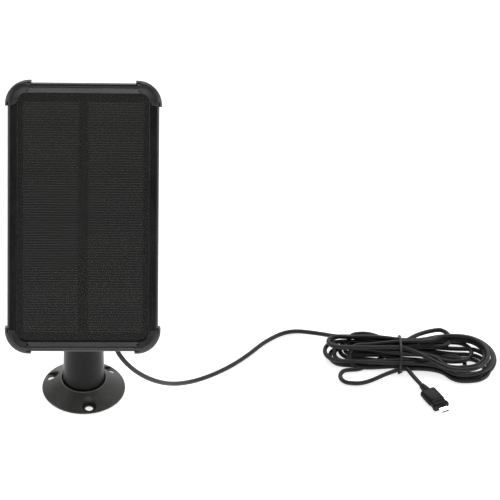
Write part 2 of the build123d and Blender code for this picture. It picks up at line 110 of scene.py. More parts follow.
def behind_panel(across, up, out):
    """A point given across the panel, up it from its middle, and out along its face."""
    along = 45.0 + up
    return (across, along * sin(LEAN) - out * cos(LEAN), TILT_HEIGHT + along * cos(LEAN) + out * sin(LEAN))


outlet = behind_panel(22.0, -82.0, 30.6)
lead_route = [
    outlet, behind_panel(22.0, -92.0, 30.6),
    (28.6, -54.3, 69.5), (37.5, -51.0, 57.0), (48.5, -41.5, 41.8), (62.0, -25.5, 24.5),
    (77.0, -6.5, 10.2), (92.5, 8.5, 3.6), (108.5, 22.0, FLOOR_LINE), (122.5, 35.5, FLOOR_LINE),
    (137.0, 53.0, FLOOR_LINE), (155.5, 66.0, FLOOR_LINE), (176.0, 61.0, FLOOR_LINE + 1.3),
    (194.0, 48.7, FLOOR_LINE + 6.9), (213.0, 46.5, 11.4), (227.0, 43.5, 12.6)]
print("lead points", len(lead_route), "outlet", [round(value, 1) for value in outlet])

# %% [markdown]
# ## The hank
# Whoever folded the cable did it by hand, so no two turns are alike: each has its own two
# ends, and they fan out away from the tie. Under the tie the runs are squeezed side by
# side in four layers. One function lays a turn from the tie out to the right, round, back
# through the tie, out to the left and round again. Ten sets of sizes give ten turns.

# %% One turn of the hank
TIE_X, TIE_Y = 239.0, 33.0
TIE_SHIFT = -2.5
LANE = 3.6
LAYER_AT_TIE = (3.6, 6.8, 10.0, 12.6)
LAYER_AT_ENDS = (1.7, 5.0, 8.3, 11.4)


def bend(x, y, reach, half, start, stop, steps, low, high):
    """Points round the end of a turn, climbing from one layer to another."""
    spots = []
    for step in range(steps):
        part = step / (steps - 1)
        angle = radians(start + (stop - start) * part)
        spots.append((x + reach * cos(angle), y + half * sin(angle), low + (high - low) * part))
    return spots


def lay_turn(layer, out_lane, back_lane, right, left, next_layer, next_lane):
    """One turn. right is (end, middle, half width, slant) and left is (end, middle, half width)."""
    right_x, right_y, right_half, slant = right
    left_x, left_y, left_half = left
    tied, loose = LAYER_AT_TIE[layer], LAYER_AT_ENDS[layer]
    out_y, back_y, next_y = (TIE_Y + lane * LANE for lane in (out_lane, back_lane, next_lane))
    side = 1 if out_lane > back_lane else -1
    centre = right_x - right_half * 1.05
    near = tied * 0.6 + loose * 0.4
    short = centre < TIE_X + 33
    spots = [(TIE_X, out_y, tied)]
    spots.append((TIE_X + 13, out_y + (right_y + side * right_half - out_y) * (0.6 if short else 0.3), near))
    if not short:
        spots.append((centre - 10, right_y + side * right_half * 0.95, loose))
    spots += bend(centre, right_y, right_x - centre, right_half, side * 72, -side * 72, 6, loose, loose)
    spots.append((centre - 10 - slant, right_y - side * right_half * 0.97, loose))
    ease = min(TIE_X + 26, centre - 17 - slant)
    spots.append((ease, back_y + (right_y - side * right_half - back_y) * 0.06, near))
    spots.append((TIE_X, back_y, tied))
    side = 1 if next_lane > back_lane else -1
    tied, reached = LAYER_AT_TIE[next_layer], LAYER_AT_ENDS[next_layer]
    centre = left_x + left_half * 1.05
    straight = centre + 9 < TIE_X - 16
    spots.append((TIE_X - 12, back_y + (left_y - side * left_half - back_y) * 0.28, near))
    if straight:
        spots.append((centre + 9, left_y - side * left_half * 0.97, loose))
    spots += bend(centre, left_y, left_x - centre, left_half, -side * 66, side * 66, 5, loose, reached)
    if straight:
        spots.append((centre + 9, left_y + side * left_half * 0.97, reached))
    spots.append((TIE_X - 12, next_y + (left_y + side * left_half - next_y) * 0.35, tied * 0.6 + reached * 0.4))
    return spots


# %% All the turns, and the cable's last stretch to its plug
turns = [
    (2, 3.0, -1.5, (301, 30, 17, 4), (186, 46, 9), 1, 3.5),
    (1, 3.5, -3.5, (308, 31.5, 24, -3), (180, 36.5, 12.5), 1, 2.5),
    (1, 2.5, -2.5, (304, 25, 15.5, 0), (187, 33, 9), 1, 1.5),
    (1, 1.5, -0.5, (292, 36, 12, 0), (196, 40, 8), 0, 4.0),
    (0, 4.0, -4.0, (310, 34, 27, -3), (190, 11, 8.5), 0, 3.0),
    (0, 3.0, -3.0, (304, 21.5, 16.5, 2), (184, 34.5, 11), 0, 2.0),
    (0, 2.0, -2.0, (300, 20, 12.5, -2), (192, 42, 11), 0, 1.0),
    (0, 1.0, -1.0, (286, 26, 10, 0), (199, 46.8, 7.5), 2, 2.0),
    (2, 2.0, 0.8, (277, 48.8, 11.2, 0), (183, 42, 9), 3, -0.3),
    (3, -0.3, 1.6, (303, 27, 21, 3), (198, 29, 8), 0, -3.2)]
PLUG_START = Vector((250.1, -1.1, 3.05))
PLUG_WAY = Vector((cos(radians(-63.8)), sin(radians(-63.8)), 0.0))
tail_route = [
    (237.5, 20.5, 3.6), (241.3, 16.7, 4.2), (244.0, 10.4, 3.6), PLUG_START - 6.0 * PLUG_WAY, PLUG_START]
route = list(lead_route)
for sizes in turns:
    route += lay_turn(*sizes)
route += tail_route
print("turns", len(turns), "control points", len(route))

# %% The cable as one smooth curve
curve = bpy.data.curves.new("cable", "CURVE")
curve.dimensions = "3D"
curve.resolution_u = 8
curve.bevel_depth = 1.0
curve.bevel_resolution = 4
line = curve.splines.new("NURBS")
line.points.add(len(route) - 1)
for point, spot in zip(line.points, route):
    point.co = (spot[0] * MM, spot[1] * MM, spot[2] * MM, 1.0)
    point.radius = CABLE_THICK / 2 * MM
line.order_u = 3
line.use_endpoint_u = True
cable = bpy.data.objects.new("cable", curve)
bpy.context.scene.collection.objects.link(cable)
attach(cable, "panel")
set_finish(cable, "cable_cover")
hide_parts("cable_lead", "cable_hank", "cable_tail")


def follow(curve_object):
    """The points of the curve itself, read from it without its thickness."""
    bare = curve_object.data.copy()
    bare.bevel_depth = 0.0
    stand_in = bpy.data.objects.new("bare", bare)
    mesh = bpy.data.meshes.new_from_object(stand_in)
    spots = [vertex.co.copy() for vertex in mesh.vertices]
    bpy.data.objects.remove(stand_in)
    bpy.data.meshes.remove(mesh)
    return spots


cable_line = follow(cable)
cable_length = sum((b - a).length for a, b in zip(cable_line, cable_line[1:]))
print("cable length in m", round(cable_length, 3), "lowest in mm", round(min(p.z for p in cable_line) / MM, 2))

# %% [markdown]
# ## Pieces made in the mesh editor's way
# A new piece starts from a primitive in a bmesh and is shaped by operators. When it is
# done its mesh already holds its place, so its object sits at the origin, unturned. That
# keeps patterns on object coordinates still, and lets the piece ride on a body.

# %% Turning a bmesh into a piece
def make_piece(name, shape, body, slot, place=None, smooth=True):
    """Place the finished bmesh, point its faces outwards and hang it on its body."""
    if place is not None:
        bmesh.ops.transform(shape, matrix=place, verts=shape.verts)
    bmesh.ops.remove_doubles(shape, verts=shape.verts, dist=0.00001)
    bmesh.ops.recalc_face_normals(shape, faces=shape.faces)
    mesh = bpy.data.meshes.new(name)
    shape.to_mesh(mesh)
    shape.free()
    for face in mesh.polygons:
        face.use_smooth = smooth
    piece = bpy.data.objects.new(name, mesh)
    bpy.context.scene.collection.objects.link(piece)
    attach(piece, body)
    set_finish(piece, slot)
    print(name, "faces", len(mesh.polygons))
    return piece


def soften(piece, width, segments=3):
    """A live bevel on the sharp edges, with the flat faces kept flat."""
    bevel = piece.modifiers.new("soft edges", "BEVEL")
    bevel.width = width * MM
    bevel.segments = segments
    bevel.limit_method = "ANGLE"
    bevel.angle_limit = radians(35)
    bevel.harden_normals = True
    return piece


plug_place = Matrix.Translation(PLUG_START * MM) @ Matrix((
    (-PLUG_WAY.y, 0.0, PLUG_WAY.x, 0.0), (PLUG_WAY.x, 0.0, PLUG_WAY.y, 0.0),
    (0.0, 1.0, 0.0, 0.0), (0.0, 0.0, 0.0, 1.0)))
print("plug points to", [round(value, 3) for value in PLUG_WAY])

# %% [markdown]
# ## The plug's boot
# Where the cable enters the plug a short ribbed boot keeps it from kinking. It is round,
# so it is a profile spun about its own axis, with the ribs drawn in the profile.

# %% Boot
def spin_profile(profile, steps=40):
    """A closed solid from (radius, height) points in millimetres, spun about Z."""
    shape = bmesh.new()
    ring = [shape.verts.new((radius * MM, 0.0, height * MM)) for radius, height in profile]
    edges = [shape.edges.new(pair) for pair in zip(ring, ring[1:])]
    bmesh.ops.spin(
        shape, geom=ring + edges, cent=(0, 0, 0), axis=(0, 0, 1), angle=2 * pi, steps=steps,
        use_merge=True, use_duplicate=False)
    return shape


boot_profile = [(0.0, -0.4), (1.5, -0.4), (1.95, -0.25), (2.1, 0.1)]
for rib in range(4):
    low = 0.5 + rib * 1.55
    wide = 2.3 + rib * 0.2
    boot_profile += [(wide, low), (wide + 0.05, low + 0.35), (wide, low + 0.7)]
    boot_profile += [(wide - 0.42, low + 0.85), (wide - 0.4, low + 1.3)]
boot_profile += [(3.0, 6.8), (3.0, 7.3), (0.0, 7.3)]
plug_boot = make_piece("plug_boot_ribbed", spin_profile(boot_profile), "panel", "cable_cover", plug_place)
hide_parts("plug_boot")

# %% [markdown]
# ## The plug's grip
# The moulded grip is a flattened block with full round sides. Near its front it steps in
# for the band that the fingers push on. One rectangle with round corners is extruded step
# by step along the outline, and a small bevel softens the steps.

# %% Grip
def rounded_loop(shape, width, height, radius, segments=5):
    """One face, a rectangle with round corners, lying at the height of zero."""
    bmesh.ops.create_grid(shape, x_segments=1, y_segments=1, size=0.5)
    bmesh.ops.scale(shape, vec=(width * MM, height * MM, 1.0), verts=shape.verts)
    bmesh.ops.bevel(
        shape, geom=list(shape.verts), offset=radius * MM, segments=segments, profile=0.5,
        affect="VERTICES", material=-1)
    return shape.faces[:]


def stacked(width, height, radius, steps, segments=5):
    """Extrude a rounded rectangle through (rise, wider, taller) steps in millimetres."""
    shape = bmesh.new()
    top = rounded_loop(shape, width, height, radius, segments)
    wide, tall = width, height
    for rise, wider, taller in steps:
        made = bmesh.ops.extrude_face_region(shape, geom=top)
        top = [item for item in made["geom"] if isinstance(item, bmesh.types.BMFace)]
        edge = {vertex for face in top for vertex in face.verts}
        bmesh.ops.translate(shape, vec=(0, 0, rise * MM), verts=list(edge))
        middle = sum((vertex.co for vertex in edge), Vector()) / len(edge)
        grow = ((wide + wider) / wide, (tall + taller) / tall, 1.0)
        bmesh.ops.scale(shape, vec=grow, space=Matrix.Translation(-middle), verts=list(edge))
        wide, tall = wide + wider, tall + taller
    return shape


grip_steps = [
    (0.5, 1.2, 0.9), (0.9, 0.9, 0.5), (11.4, 0.2, 0.2), (0.35, -0.2, -0.1), (0.25, -0.7, -0.6),
    (3.9, 0.0, 0.0), (0.25, 0.7, 0.6), (0.5, 0.1, 0.1), (1.6, 0.0, -0.1), (0.35, -0.5, -0.4)]
grip_shape = stacked(10.9, 4.3, 2.0, grip_steps, 6)
grip_place = plug_place @ Matrix.Translation((0, 0, 7.0 * MM))
grip = make_piece("plug_grip", grip_shape, "panel", "plug_plastic", grip_place)
soften(grip, 0.12, 2)
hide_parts("plug_body")

# %% [markdown]
# ## The tie
# A plastic-covered wire is passed round the hank and its two ends are twisted together
# and pressed down. Its middle line goes once round the squeezed runs, and a thin round
# section is swept along it.

# %% Tie
def swept(name, spots, thick, body, slot):
    """A closed round rod along a smooth line, as a mesh."""
    data = bpy.data.curves.new(name, "CURVE")
    data.dimensions = "3D"
    data.resolution_u = 6
    data.bevel_depth = thick / 2 * MM
    data.bevel_resolution = 3
    data.use_fill_caps = True
    spline = data.splines.new("NURBS")
    spline.points.add(len(spots) - 1)
    for point, spot in zip(spline.points, spots):
        point.co = (spot[0] * MM, spot[1] * MM, spot[2] * MM, 1.0)
    spline.order_u = 3
    spline.use_endpoint_u = True
    stand_in = bpy.data.objects.new(name, data)
    mesh = bpy.data.meshes.new_from_object(stand_in)
    bpy.data.objects.remove(stand_in)
    shape = bmesh.new()
    shape.from_mesh(mesh)
    bpy.data.meshes.remove(mesh)
    return make_piece(name, shape, body, slot)


def round_the_runs(turn, x):
    """A point on the tie's line, turn in degrees from the hank's near side. It is flat below."""
    across, tall = -cos(radians(turn)), sin(radians(turn))
    x += across
    if tall < 0:
        across = (1 if across > 0 else -1) * abs(across) ** 0.5
        return (x, TIE_Y + 16.9 * across, 6.4 - 5.1 * abs(tall) ** 0.5)
    return (x, TIE_Y + 16.9 * across, 6.4 + 8.9 * tall ** 0.9)


tie_route = [(TIE_X - 4.6, 14.6, 1.3), (TIE_X - 4.0, 15.4, 2.0)]
for step in range(19):
    tie_route.append(round_the_runs(-14 + step * 21, TIE_X + TIE_SHIFT + 0.5 * sin(radians(step * 21))))
tie_route += [(TIE_X - 3.0, 15.6, 3.6), (TIE_X - 2.6, 15.0, 2.0)]
tie = swept("tie_wire", tie_route, 2.0, "panel", "tie_cord")
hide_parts("cable_tie")

# %% [markdown]
# ## Light and floor
# The object is black, so what shows its shape is what it reflects. A wide soft panel of
# light hangs above, one stands at each side for the bright lines along the post and the
# rails, a small one high in front lights the slopes round the window, and the rest of the
# room in front stays dim. The floor is pale and plain.

# %% Room, floor and lamps
def soft_light(name, spot, target, width, height, power):
    """A rectangular lamp that faces the target."""
    data = bpy.data.lights.new(name, "AREA")
    data.shape = "RECTANGLE"
    data.size, data.size_y = width, height
    data.energy = power
    lamp = bpy.data.objects.new(name, data)
    bpy.context.scene.collection.objects.link(lamp)
    away = Vector(spot) - Vector(target)
    lamp.matrix_world = Matrix.Translation(spot) @ away.to_track_quat("Z", "Y").to_matrix().to_4x4()
    return lamp


soft_light("back and above", (0.1, 1.5, 1.7), (0.1, 0.0, 0.0), 2.4, 1.0, 26.0)
soft_light("low front", (0.1, -2.1, 0.10), (0.0, 0.0, 0.1), 2.6, 0.30, 10.5)
soft_light("high front", (0.05, -1.1, 1.75), (0.0, 0.0, 0.15), 0.9, 0.35, 3.6)
soft_light("left", (-1.3, -0.2, 0.7), (0.0, 0.0, 0.1), 0.5, 0.9, 4.4)
soft_light("right", (1.4, -0.1, 0.7), (0.0, 0.0, 0.1), 0.5, 0.9, 5.4)

world = bpy.data.worlds.new("room")
bpy.context.scene.world = world
world.use_nodes = True
room = world.node_tree
room.nodes["Background"].inputs["Strength"].default_value = 1.0
direction = room.nodes.new("ShaderNodeTexCoord")
height = room.nodes.new("ShaderNodeSeparateXYZ")
behind = room.nodes.new("ShaderNodeMath")
behind.operation = "MAXIMUM"
behind.inputs[1].default_value = 0.0
lift = room.nodes.new("ShaderNodeMath")
lift.operation = "MULTIPLY_ADD"
lift.inputs[1].default_value = -0.35
fade = room.nodes.new("ShaderNodeValToRGB")
fade.color_ramp.elements[0].position = 0.08
fade.color_ramp.elements[0].color = (0.88, 0.88, 0.88, 1)
fade.color_ramp.elements[1].position = 0.30
fade.color_ramp.elements[1].color = (0.108, 0.108, 0.108, 1)
room.links.new(direction.outputs["Generated"], height.inputs[0])
room.links.new(height.outputs["Y"], behind.inputs[0])
room.links.new(behind.outputs[0], lift.inputs[0])
room.links.new(height.outputs["Z"], lift.inputs[2])
room.links.new(lift.outputs[0], fade.inputs["Fac"])
room.links.new(fade.outputs["Color"], room.nodes["Background"].inputs["Color"])
bpy.context.scene.view_settings.view_transform = "Standard"

floor_shape = bmesh.new()
bmesh.ops.create_circle(floor_shape, cap_ends=True, radius=9.0, segments=96)
bmesh.ops.translate(floor_shape, vec=(0, 0, -0.0003), verts=floor_shape.verts)
floor_mesh = bpy.data.meshes.new("floor")
floor_shape.to_mesh(floor_mesh)
floor_shape.free()
floor = bpy.data.objects.new("floor", floor_mesh)
bpy.context.scene.collection.objects.link(floor)
floor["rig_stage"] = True
pale = bpy.data.materials.new("pale floor")
pale.use_nodes = True
pale_surface = pale.node_tree.nodes["Principled BSDF"]
pale_surface.inputs["Base Color"].default_value = (0.86, 0.86, 0.86, 1)
pale_surface.inputs["Roughness"].default_value = 0.75
pale_surface.inputs["Specular IOR Level"].default_value = 0.1
pale_surface.inputs["Emission Color"].default_value = (1, 1, 1, 1)
pale_surface.inputs["Emission Strength"].default_value = 0.72
floor_mesh.materials.append(pale)
print("lamps 5, floor", round(floor.dimensions.x, 1), "m across")

# %% [markdown]
# ## Shared effects
# Many of the finishes use the same few effects: a fine grain, the pebbles of a moulded or
# powder coated skin, soft patches of handling, lines left by drawing the metal through a
# die, worn edges and settled dust. Each is a node group with named inputs, built once.
# The groups give out masks, heights and normals, and each material decides what to do
# with them.

# %% Building groups
def add(tree, kind, **settings):
    """A node with its settings; a key such as in_Scale sets an input."""
    node = tree.nodes.new("ShaderNode" + kind)
    for key, value in settings.items():
        if key.startswith("in_"):
            name = key[3:].replace("_", " ")
            node.inputs[int(name) if name.isdigit() else name].default_value = value
        else:
            setattr(node, key, value)
    return node


def new_group(name, inputs, outputs):
    """An empty group; inputs are (name, kind, value) and outputs are (name, kind)."""
    group = bpy.data.node_groups.new(name, "ShaderNodeTree")
    for title, kind, value in inputs:
        socket = group.interface.new_socket(title, in_out="INPUT", socket_type="NodeSocket" + kind)
        if value is not None:
            socket.default_value = value
    for title, kind in outputs:
        group.interface.new_socket(title, in_out="OUTPUT", socket_type="NodeSocket" + kind)
    entry = group.nodes.new("NodeGroupInput")
    leave = group.nodes.new("NodeGroupOutput")
    return group, entry.outputs, leave.inputs


def join(tree, start, end):
    tree.links.new(start, end)


def math(tree, operation, first, second, clamp=False):
    """A sum of two values, each a number or a socket."""
    node = add(tree, "Math", operation=operation, use_clamp=clamp)
    for index, value in enumerate((first, second)):
        if isinstance(value, (int, float)):
            node.inputs[index].default_value = value
        elif value is not None:
            join(tree, value, node.inputs[index])
    return node.outputs[0]


def remap(tree, value, low, high, to_low=0.0, to_high=1.0):
    """Stretch the values between low and high over the new range."""
    node = add(tree, "MapRange", in_1=low, in_2=high, in_3=to_low, in_4=to_high)
    join(tree, value, node.inputs[0])
    return node.outputs[0]


# %% Grain, pebbles and patches
grain_group, given, out = new_group(
    "fine_grain", [("Vector", "Vector", None), ("Size", "Float", 0.0005)],
    [("Height", "Float"), ("Specks", "Float")])
noise = add(grain_group, "TexNoise", in_Detail=3.0, in_Roughness=0.6)
join(grain_group, given["Vector"], noise.inputs["Vector"])
join(grain_group, math(grain_group, "DIVIDE", 1.0, given["Size"]), noise.inputs["Scale"])
join(grain_group, noise.outputs["Fac"], out["Height"])
join(grain_group, remap(grain_group, noise.outputs["Fac"], 0.56, 0.72), out["Specks"])

pebble_group, given, out = new_group(
    "pebbled_skin", [("Vector", "Vector", None), ("Size", "Float", 0.0008)],
    [("Height", "Float"), ("Hollow shade", "Float")])
cells = add(pebble_group, "TexVoronoi", feature="SMOOTH_F1", in_Smoothness=0.6)
wander = add(pebble_group, "TexNoise", in_Detail=2.0)
scale = math(pebble_group, "DIVIDE", 1.0, given["Size"])
join(pebble_group, given["Vector"], cells.inputs["Vector"])
join(pebble_group, given["Vector"], wander.inputs["Vector"])
join(pebble_group, scale, cells.inputs["Scale"])
join(pebble_group, math(pebble_group, "MULTIPLY", scale, 1.7), wander.inputs["Scale"])
domes = math(pebble_group, "SUBTRACT", 1.0, cells.outputs["Distance"])
mixed = math(
    pebble_group, "ADD", math(pebble_group, "MULTIPLY", domes, 0.6),
    math(pebble_group, "MULTIPLY", wander.outputs["Fac"], 0.4))
join(pebble_group, mixed, out["Height"])
# This mask marks the low parts of the pebbles, where a finish paints shade.
join(pebble_group, remap(pebble_group, mixed, 0.62, 0.42), out["Hollow shade"])

patch_group, given, out = new_group(
    "soft_patches", [("Vector", "Vector", None), ("Size", "Float", 0.03)], [("Mask", "Float")])
noise = add(patch_group, "TexNoise", in_Detail=4.0, in_Roughness=0.55)
join(patch_group, given["Vector"], noise.inputs["Vector"])
join(patch_group, math(patch_group, "DIVIDE", 1.0, given["Size"]), noise.inputs["Scale"])
join(patch_group, remap(patch_group, noise.outputs["Fac"], 0.35, 0.66), out["Mask"])
print("groups", [group.name for group in bpy.data.node_groups])

# %% Drawn lines, worn edges and dust
lines_group, given, out = new_group(
    "drawn_lines", [("Vector", "Vector", None), ("Along", "Vector", (0, 0, 1)), ("Pitch", "Float", 0.0004)],
    [("Height", "Float")])
along = add(lines_group, "VectorMath", operation="DOT_PRODUCT")
join(lines_group, given["Vector"], along.inputs[0])
join(lines_group, given["Along"], along.inputs[1])
run = add(lines_group, "VectorMath", operation="SCALE")
join(lines_group, given["Along"], run.inputs[0])
join(lines_group, math(lines_group, "MULTIPLY", along.outputs["Value"], 0.985), run.inputs["Scale"])
across = add(lines_group, "VectorMath", operation="SUBTRACT")
join(lines_group, given["Vector"], across.inputs[0])
join(lines_group, run.outputs[0], across.inputs[1])
noise = add(lines_group, "TexNoise", in_Detail=2.0, in_Roughness=0.5)
join(lines_group, across.outputs[0], noise.inputs["Vector"])
join(lines_group, math(lines_group, "DIVIDE", 1.0, given["Pitch"]), noise.inputs["Scale"])
join(lines_group, noise.outputs["Fac"], out["Height"])

edge_group, given, out = new_group(
    "worn_edge", [("Vector", "Vector", None), ("Radius", "Float", 0.0004)],
    [("Normal", "Vector"), ("Mask", "Float")])
rounding = add(edge_group, "Bevel", samples=6)
surface = add(edge_group, "NewGeometry")
join(edge_group, given["Radius"], rounding.inputs["Radius"])
facing = add(edge_group, "VectorMath", operation="DOT_PRODUCT")
join(edge_group, rounding.outputs["Normal"], facing.inputs[0])
join(edge_group, surface.outputs["Normal"], facing.inputs[1])
turned = remap(edge_group, facing.outputs["Value"], 0.985, 0.80)
chips = add(edge_group, "TexNoise", in_Scale=900.0, in_Detail=4.0)
join(edge_group, given["Vector"], chips.inputs["Vector"])
chipped = remap(edge_group, chips.outputs["Fac"], 0.42, 0.62)
join(edge_group, math(edge_group, "MULTIPLY", turned, chipped), out["Mask"])
join(edge_group, rounding.outputs["Normal"], out["Normal"])

dust_group, given, out = new_group(
    "settled_dust", [("Vector", "Vector", None), ("Amount", "Float", 0.1)], [("Mask", "Float")])
surface = add(dust_group, "NewGeometry")
parts = add(dust_group, "SeparateXYZ")
join(dust_group, surface.outputs["Normal"], parts.inputs[0])
noise = add(dust_group, "TexNoise", in_Scale=260.0, in_Detail=5.0, in_Roughness=0.65)
join(dust_group, given["Vector"], noise.inputs["Vector"])
upward = remap(dust_group, parts.outputs["Z"], 0.0, 1.0)
lying = math(dust_group, "MULTIPLY", upward, remap(dust_group, noise.outputs["Fac"], 0.4, 0.7))
join(dust_group, math(dust_group, "MULTIPLY", lying, given["Amount"], clamp=True), out["Mask"])
print("groups", len(bpy.data.node_groups))

# %% [markdown]
# ## The general finish
# Most of the pieces are a plain material with a skin of its own: a colour that drifts a
# little, a roughness that drifts with it, a fine relief, softened edges that catch the
# light, and some dust on top. One function builds that from its values, so every finish
# can be read off its own line further down.

# %% A finish from its values
def group_node(tree, group, vector, **values):
    node = tree.nodes.new("ShaderNodeGroup")
    node.node_tree = group
    join(tree, vector, node.inputs["Vector"])
    for name, value in values.items():
        node.inputs[name].default_value = value
    return node.outputs


def blend_colour(tree, mask, first, second):
    """Mix two colours by a mask; each colour is a value or a socket."""
    node = add(tree, "Mix", data_type="RGBA")
    join(tree, mask, node.inputs[0])
    for index, colour in ((6, first), (7, second)):
        if isinstance(colour, tuple):
            node.inputs[index].default_value = (*colour, 1.0)
        else:
            join(tree, colour, node.inputs[index])
    return node.outputs[2]


def new_material(name):
    """A material with its tree, its Principled surface and its object coordinates."""
    material = bpy.data.materials.new(name)
    material.use_nodes = True
    tree = material.node_tree
    return material, tree, tree.nodes["Principled BSDF"], add(tree, "TexCoord").outputs["Object"]


def relief(tree, height, normal, surface, depth, strength):
    """A bump of a real depth in millimetres, on top of the softened edges."""
    bump = add(tree, "Bump", in_Strength=strength, in_Distance=depth * MM)
    join(tree, height, bump.inputs["Height"])
    if normal is not None:
        join(tree, normal, bump.inputs["Normal"])
    join(tree, bump.outputs[0], surface.inputs["Normal"])


def finish(name, colour, drift, rough, skin="grain", size=0.5, depth=0.02, strength=0.5, metal=0.0,
           edge=0.3, bare=None, worn=0.5, dust=0.15, patch=25.0, along=None, level=0.5):
    """The general finish. Sizes are in millimetres; rough is a (low, high) pair."""
    material, tree, surface, spot = new_material(name)
    patches = group_node(tree, patch_group, spot, Size=patch * MM)["Mask"]
    edges = group_node(tree, edge_group, spot, Radius=edge * MM)
    tone = blend_colour(tree, patches, colour, drift)
    if skin == "pebble":
        skin_out = group_node(tree, pebble_group, spot, Size=size * MM)
        height = skin_out["Height"]
        # Painted shade: the hollows of a pebbled skin are darkened towards half the colour.
        painted_hollow_shade = math(tree, "MULTIPLY", skin_out["Hollow shade"], 0.5)
        tone = blend_colour(tree, painted_hollow_shade, tone, tuple(part * 0.5 for part in colour))
    elif skin == "lines":
        height = group_node(tree, lines_group, spot, Pitch=size * MM, Along=along)["Height"]
    else:
        height = group_node(tree, grain_group, spot, Size=size * MM)["Height"]
    if bare:
        tone = blend_colour(tree, math(tree, "MULTIPLY", edges["Mask"], worn), tone, bare)
    settled = group_node(tree, dust_group, spot, Amount=dust)["Mask"]
    tone = blend_colour(tree, settled, tone, (0.30, 0.29, 0.27))
    join(tree, tone, surface.inputs["Base Color"])
    roughness = remap(tree, patches, 0.0, 1.0, rough[0], rough[1])
    roughness = math(tree, "ADD", roughness, math(tree, "MULTIPLY", math(tree, "SUBTRACT", height, 0.5), 0.2))
    roughness = math(tree, "ADD", roughness, math(tree, "MULTIPLY", settled, 0.4), clamp=True)
    join(tree, roughness, surface.inputs["Roughness"])
    surface.inputs["Metallic"].default_value = metal
    surface.inputs["Specular IOR Level"].default_value = level
    relief(tree, height, edges["Normal"], surface, depth, strength)
    return material


print("finish ready")

# %% [markdown]
# ## The painted and cast metal
# The flange is a casting with a thick, sandy, slightly warm powder coat, which hides the
# tool marks. The post is a smoother casting under satin paint, and the arm is painted with
# it. The frame's rails are aluminium pushed through a die and anodised, so fine lines run
# along each of them.

# %% Metals
UP_PANEL = (0.0, sin(LEAN), cos(LEAN))
ACROSS = (1.0, 0.0, 0.0)
finishes = {}
finishes["sand_coat"] = finish(
    "sandy powder coat", (0.023, 0.023, 0.020), (0.036, 0.0355, 0.031), (0.38, 0.50), "pebble", 0.9, 0.06, 0.8,
    edge=0.5, bare=(0.12, 0.115, 0.10), worn=0.4, dust=0.03, level=0.7)
finishes["satin_paint"] = finish(
    "satin black paint", (0.0055, 0.0055, 0.0057), (0.008, 0.008, 0.0081), (0.26, 0.34), "grain", 0.5, 0.006, 0.3,
    edge=0.4, bare=(0.05, 0.05, 0.05), worn=0.3, dust=0.01, level=0.18)
rail_up = finish(
    "satin anodised rail, upright", (0.004, 0.004, 0.0042), (0.006, 0.006, 0.0062), (0.24, 0.30), "lines", 0.3,
    0.005, 0.3, edge=1.3, bare=(0.05, 0.05, 0.052), worn=0.15, dust=0.01, along=UP_PANEL)
rail_across = finish(
    "satin anodised rail, level", (0.004, 0.004, 0.0042), (0.006, 0.006, 0.0062), (0.24, 0.30), "lines", 0.3,
    0.005, 0.3, edge=1.3, bare=(0.05, 0.05, 0.052), worn=0.15, dust=0.01, along=ACROSS)
finishes["rail_black"] = rail_up
finishes["zinc_steel"] = finish(
    "zinc plated steel", (0.50, 0.50, 0.52), (0.60, 0.60, 0.58), (0.28, 0.42), "grain", 0.3, 0.01, 0.4, metal=1.0,
    edge=0.15, bare=(0.7, 0.7, 0.7), worn=0.4, dust=0.08, patch=5.0)
finishes["black_steel"] = finish(
    "blackened steel", (0.035, 0.035, 0.038), (0.05, 0.05, 0.052), (0.3, 0.42), "grain", 0.3, 0.01, 0.4, metal=0.8,
    edge=0.12, bare=(0.3, 0.3, 0.3), worn=0.6, dust=0.1, patch=4.0)
finishes["brass"] = finish(
    "turned brass", (0.66, 0.48, 0.20), (0.74, 0.56, 0.27), (0.2, 0.3), "lines", 0.12, 0.01, 0.4, metal=1.0,
    edge=0.12, bare=(0.85, 0.7, 0.4), worn=0.4, dust=0.05, patch=4.0, along=(0.0, 1.0, 0.0))
finishes["tinned_copper"] = finish(
    "tinned ribbon", (0.62, 0.61, 0.58), (0.70, 0.66, 0.58), (0.25, 0.4), "lines", 0.15, 0.01, 0.4, metal=1.0,
    edge=0.05, dust=0.0, patch=6.0, along=UP_PANEL)
finishes["can_aluminium"] = finish(
    "drawn can", (0.68, 0.68, 0.70), (0.74, 0.74, 0.76), (0.22, 0.3), "lines", 0.1, 0.006, 0.4, metal=1.0,
    edge=0.15, bare=(0.85, 0.85, 0.86), worn=0.3, dust=0.02, patch=3.0, along=(0.0, -cos(LEAN), sin(LEAN)))
finishes["plug_steel"] = finish(
    "bright nickel", (0.80, 0.80, 0.80), (0.86, 0.85, 0.83), (0.10, 0.2), "lines", 0.12, 0.004, 0.3, metal=1.0,
    edge=0.12, bare=(0.95, 0.95, 0.95), worn=0.5, dust=0.0, patch=3.0, along=tuple(PLUG_WAY))
print("metals", len(finishes) + 1)

# %% [markdown]
# ## The plastics and rubbers
# The corner caps are moulded in a softly pebbled black plastic, duller than the rails. The
# back cover has a spark-eroded texture, the knob a finer one. The cable's jacket is a matt
# soft plastic that picks up a little dust where it has lain on the floor.

